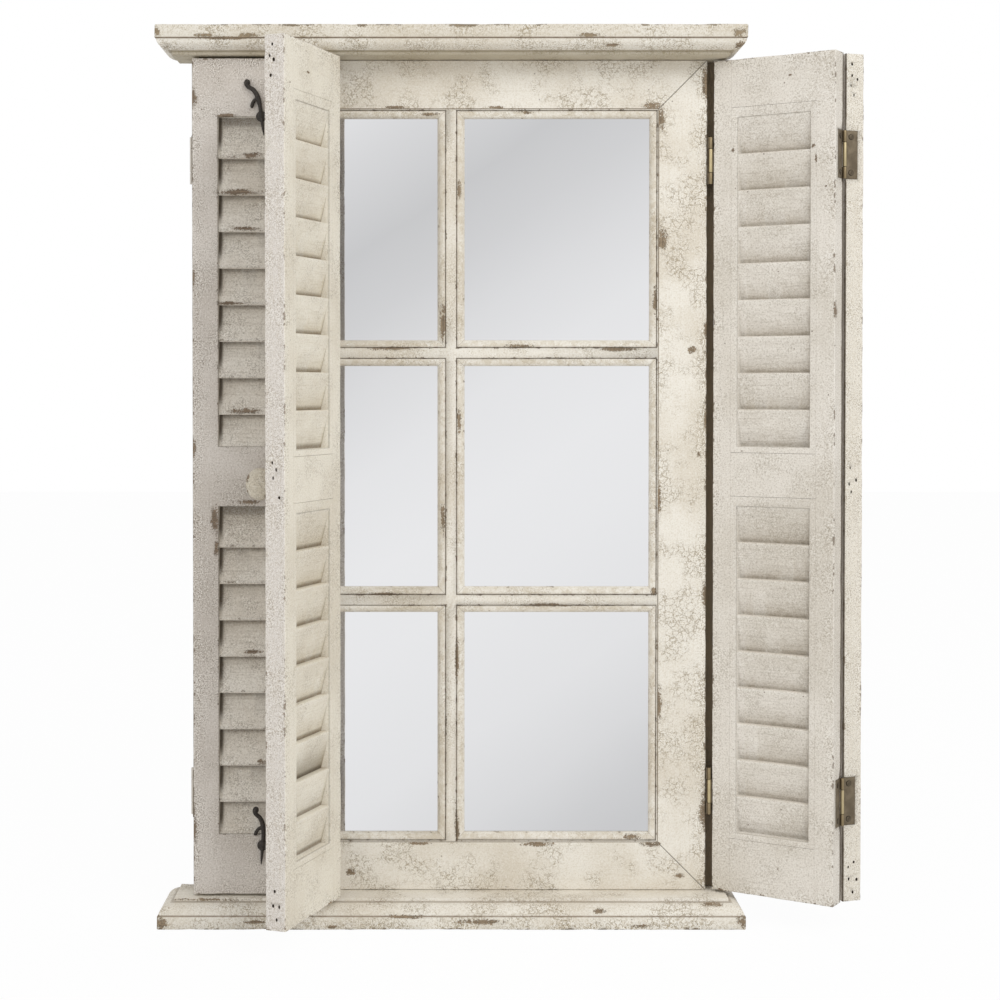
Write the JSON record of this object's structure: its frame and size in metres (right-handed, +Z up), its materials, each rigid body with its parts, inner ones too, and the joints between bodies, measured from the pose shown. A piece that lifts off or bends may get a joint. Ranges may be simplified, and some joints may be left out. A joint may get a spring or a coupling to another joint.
{
  "type": "shutter mirror",
  "caption": "Wall mirror in a painted wood frame with crown and sill, a paned grille over the glass, and folding louvred shutters on hinges with knobs and iron hooks.",
  "frame": {"origin": "centre of the frame's top rail on its back face, where the mirror bears on the wall", "axes": "+X to the viewer's right, +Z up, +Y into the wall; the front faces -Y"},
  "size_m": [0.7406, 0.2438, 0.95],
  "materials": {
    "cream_paint": "cracked and worn cream paint over wood",
    "grey_paint": "cracked grey-mauve paint over wood",
    "ivory_paint": "speckled ivory paint over wood",
    "aged_brass": "darkened antique brass",
    "black_iron": "black iron",
    "mirror": "silvered glass",
    "back_board": "bare fibre board",
    "zinc_plate": "zinc plate"
  },
  "bodies": {
    "mirror_case": {"crown": "cream_paint", "sill": "cream_paint", "frame_top_rail": "cream_paint", "frame_bottom_rail": "cream_paint", "frame_left_stile": "cream_paint", "frame_right_stile": "cream_paint", "glazing_grille": "cream_paint", "mirror_glass": "mirror", "back_board": "back_board", "hanging_rail": "zinc_plate", "left_outer_upper_fixed_leaf": "aged_brass", "left_outer_lower_fixed_leaf": "aged_brass", "right_outer_upper_fixed_leaf": "aged_brass", "right_outer_lower_fixed_leaf": "aged_brass"},
    "left_outer_panel": {"left_outer_hinge_stile": "grey_paint", "left_outer_lead_stile": "grey_paint", "left_outer_top_rail": "grey_paint", "left_outer_upper_louvres": "grey_paint", "left_outer_middle_rail": "grey_paint", "left_outer_lower_louvres": "grey_paint", "left_outer_bottom_rail": "grey_paint", "left_outer_knob": "ivory_paint", "left_outer_upper_hook": "black_iron", "left_outer_lower_hook": "black_iron", "left_outer_upper_moving_leaf": "aged_brass", "left_inner_upper_fixed_leaf": "aged_brass", "left_outer_lower_moving_leaf": "aged_brass", "left_inner_lower_fixed_leaf": "aged_brass"},
    "left_inner_panel": {"left_inner_hinge_stile": "ivory_paint", "left_inner_lead_stile": "ivory_paint", "left_inner_top_rail": "ivory_paint", "left_inner_upper_louvres": "ivory_paint", "left_inner_middle_rail": "ivory_paint", "left_inner_lower_louvres": "ivory_paint", "left_inner_bottom_rail": "ivory_paint", "left_inner_upper_moving_leaf": "aged_brass", "left_inner_lower_moving_leaf": "aged_brass"},
    "right_outer_panel": {"right_outer_hinge_stile": "grey_paint", "right_outer_lead_stile": "grey_paint", "right_outer_top_rail": "grey_paint", "right_outer_upper_louvres": "grey_paint", "right_outer_middle_rail": "grey_paint", "right_outer_lower_louvres": "grey_paint", "right_outer_bottom_rail": "grey_paint", "right_outer_knob": "ivory_paint", "right_outer_upper_hook": "black_iron", "right_outer_lower_hook": "black_iron", "right_outer_upper_moving_leaf": "aged_brass", "right_inner_upper_fixed_leaf": "aged_brass", "right_outer_lower_moving_leaf": "aged_brass", "right_inner_lower_fixed_leaf": "aged_brass"},
    "right_inner_panel": {"right_inner_hinge_stile": "ivory_paint", "right_inner_lead_stile": "ivory_paint", "right_inner_top_rail": "ivory_paint", "right_inner_upper_louvres": "ivory_paint", "right_inner_middle_rail": "ivory_paint", "right_inner_lower_louvres": "ivory_paint", "right_inner_bottom_rail": "ivory_paint", "right_inner_upper_moving_leaf": "aged_brass", "right_inner_lower_moving_leaf": "aged_brass"}
  },
  "joints": [
    {"name": "left_outer_hinge", "type": "hinge", "parent": "mirror_case", "child": "left_outer_panel", "pos_m": [-0.2773, -0.027, -0.4227], "axis": [0, 0, -1], "range_deg": [0, 160]},
    {"name": "left_fold_hinge", "type": "hinge", "parent": "left_outer_panel", "child": "left_inner_panel", "pos_m": [-0.1377, -0.0504, -0.4227], "axis": [0, 0, -1], "range_deg": [-111, 39]},
    {"name": "right_outer_hinge", "type": "hinge", "parent": "mirror_case", "child": "right_outer_panel", "pos_m": [0.2773, -0.027, -0.4227], "axis": [0, 0, 1], "range_deg": [-149, 11]},
    {"name": "right_fold_hinge", "type": "hinge", "parent": "right_outer_panel", "child": "right_inner_panel", "pos_m": [0.40901, -0.07884, -0.4227], "axis": [0, 0, 1], "range_deg": [-138, 12]}
  ]
}
